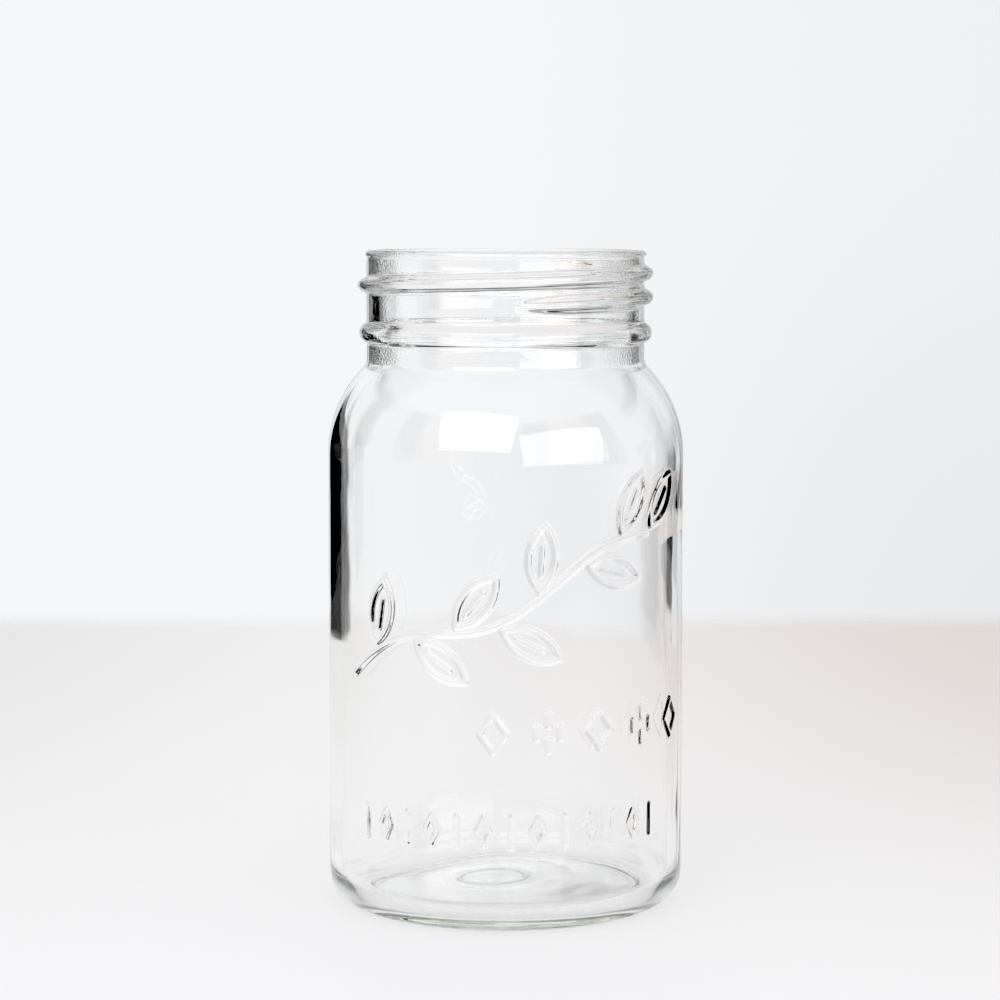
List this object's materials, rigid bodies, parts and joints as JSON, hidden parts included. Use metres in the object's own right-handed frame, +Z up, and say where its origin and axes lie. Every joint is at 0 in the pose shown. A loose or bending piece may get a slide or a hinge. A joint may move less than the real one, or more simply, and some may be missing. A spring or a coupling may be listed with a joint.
{
  "type": "mason jar",
  "caption": "Open clear glass canning jar: rounded heel, straight body with raised ornament, curved shoulder, bead and external screw thread under a rounded lip.",
  "frame": {"origin": "centre of the ring that the jar stands on", "axes": "+Z up along the jar's axis; the ornamented front faces -Y; +X is to the right seen from the front"},
  "size_m": [0.0958, 0.096, 0.176],
  "materials": {
    "clear_glass": "clear pressed glass, fire-polished gloss with slight waviness and a faint green-grey tint in the thick parts"
  },
  "bodies": {
    "root": {"base": "clear_glass", "base_ring_mark": "clear_glass", "heel": "clear_glass", "body_wall": "clear_glass", "shoulder": "clear_glass", "neck": "clear_glass", "transfer_bead": "clear_glass", "finish_wall": "clear_glass", "sealing_rim": "clear_glass", "screw_thread": "clear_glass", "mould_seams": "clear_glass", "sprig_relief": "clear_glass", "lozenge_relief": "clear_glass", "border_relief": "clear_glass"}
  },
  "joints": []
}
